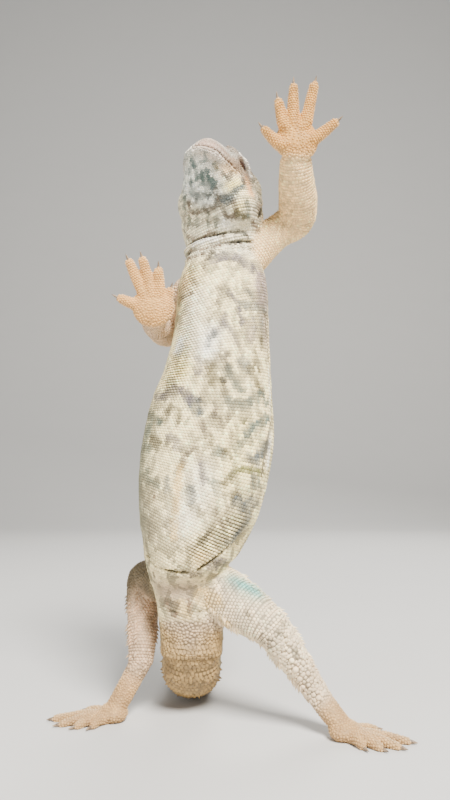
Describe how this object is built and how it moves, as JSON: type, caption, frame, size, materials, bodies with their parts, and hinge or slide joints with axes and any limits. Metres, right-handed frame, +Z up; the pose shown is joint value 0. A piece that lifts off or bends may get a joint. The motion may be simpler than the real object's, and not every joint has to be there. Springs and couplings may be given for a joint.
{
  "type": "uromastyx",
  "caption": "Spiny-tailed lizard standing upright on its hind feet, propped by its whorled tail, belly and throat to the front, one arm raised.",
  "frame": {"origin": "centre of the overall box in X and Y, at floor level", "axes": "+Z up along the standing body, -Y the way the belly faces, +X the lizard's own left"},
  "size_m": [0.1379, 0.1798, 0.2493],
  "materials": {
    "skin": "dry, finely scaled, cream with grey-green wavy markings",
    "tail_skin": "dry, ringed with keeled scales, sandy olive",
    "hand_skin": "dry, finely scaled, peach",
    "eye": "wet gloss, dark brown"
  },
  "bodies": {
    "root": {"head": "skin", "neck": "skin", "torso": "skin", "upper_arm_left": "skin", "forearm_left": "skin", "hand_left": "hand_skin", "upper_arm_right": "skin", "forearm_right": "skin", "hand_right": "hand_skin", "thigh_left": "skin", "shin_left": "skin", "foot_left": "hand_skin", "thigh_right": "skin", "shin_right": "skin", "foot_right": "hand_skin", "tail_base": "tail_skin", "tail_middle": "tail_skin", "tail_tip": "tail_skin", "eye_left": "eye", "eye_right": "eye"}
  },
  "joints": []
}
